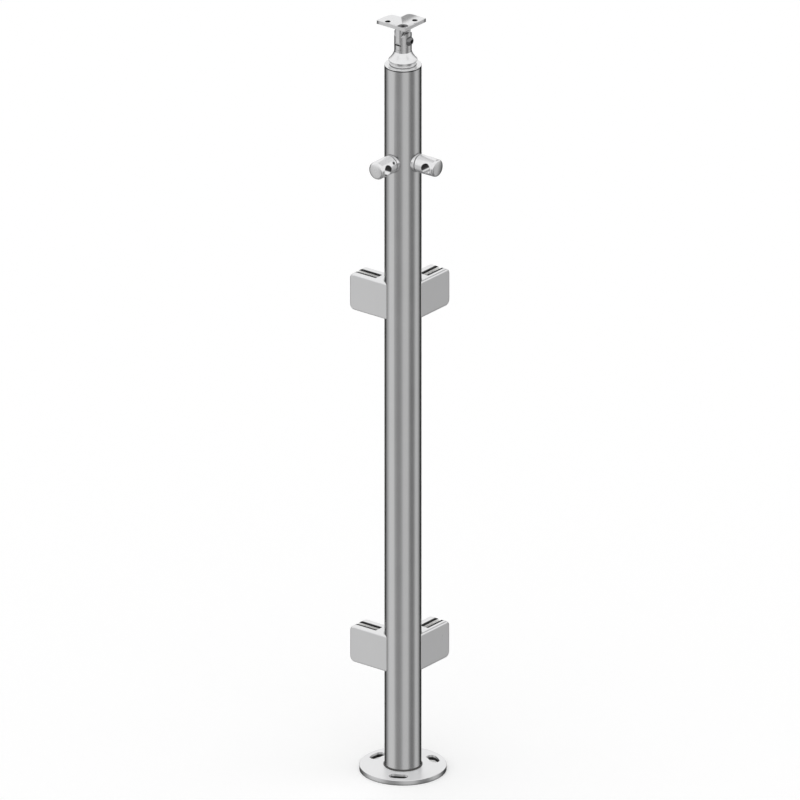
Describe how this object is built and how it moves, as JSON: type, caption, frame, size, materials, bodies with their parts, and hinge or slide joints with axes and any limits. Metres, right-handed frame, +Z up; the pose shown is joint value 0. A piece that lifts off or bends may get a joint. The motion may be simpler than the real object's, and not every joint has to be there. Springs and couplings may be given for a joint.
{
  "type": "corner railing post",
  "caption": "Round steel corner post for a glass railing, with a foot plate, clamps for panes on two sides, cross bar holders and a tilting handrail saddle.",
  "frame": {"origin": "centre of the foot plate's underside, on the post's axis", "axes": "+Z up along the post; the panes leave the post along +X and along +Y, and the cross bars pass on its -X and -Y sides"},
  "size_m": [0.1129, 0.1129, 0.9206],
  "materials": {
    "satin_steel": "satin ground stainless steel",
    "screw_steel": "plain stainless steel fasteners",
    "zinc_steel": "plain steel inside the post",
    "pad_rubber": "black rubber pads"
  },
  "bodies": {
    "post": {"base_plate": "satin_steel", "post_tube": "satin_steel", "rivet_nuts": "zinc_steel", "end_cap": "satin_steel", "collar": "satin_steel", "cap_stud": "zinc_steel", "support_stem": "satin_steel", "pivot_screw": "screw_steel", "clamp_x_low_body": "satin_steel", "clamp_x_low_cover": "satin_steel", "clamp_x_low_outer_pad": "pad_rubber", "clamp_x_low_inner_pad": "pad_rubber", "clamp_x_low_screws": "screw_steel", "clamp_x_high_body": "satin_steel", "clamp_x_high_cover": "satin_steel", "clamp_x_high_outer_pad": "pad_rubber", "clamp_x_high_inner_pad": "pad_rubber", "clamp_x_high_screws": "screw_steel", "clamp_y_low_body": "satin_steel", "clamp_y_low_cover": "satin_steel", "clamp_y_low_outer_pad": "pad_rubber", "clamp_y_low_inner_pad": "pad_rubber", "clamp_y_low_screws": "screw_steel", "clamp_y_high_body": "satin_steel", "clamp_y_high_cover": "satin_steel", "clamp_y_high_outer_pad": "pad_rubber", "clamp_y_high_inner_pad": "pad_rubber", "clamp_y_high_screws": "screw_steel", "clamp_fixings": "screw_steel", "holder_x_base": "satin_steel", "holder_x_body": "satin_steel", "holder_x_grub": "screw_steel", "holder_y_base": "satin_steel", "holder_y_body": "satin_steel", "holder_y_grub": "screw_steel", "holder_screws": "screw_steel"},
    "saddle": {"saddle_link": "satin_steel", "saddle_plate": "satin_steel", "saddle_screw": "screw_steel"}
  },
  "joints": [
    {"name": "saddle_tilt", "type": "hinge", "parent": "post", "child": "saddle", "pos_m": [0, 0, 0.9006], "axis": [0, 1, 0], "range_deg": [-45, 45]}
  ]
}
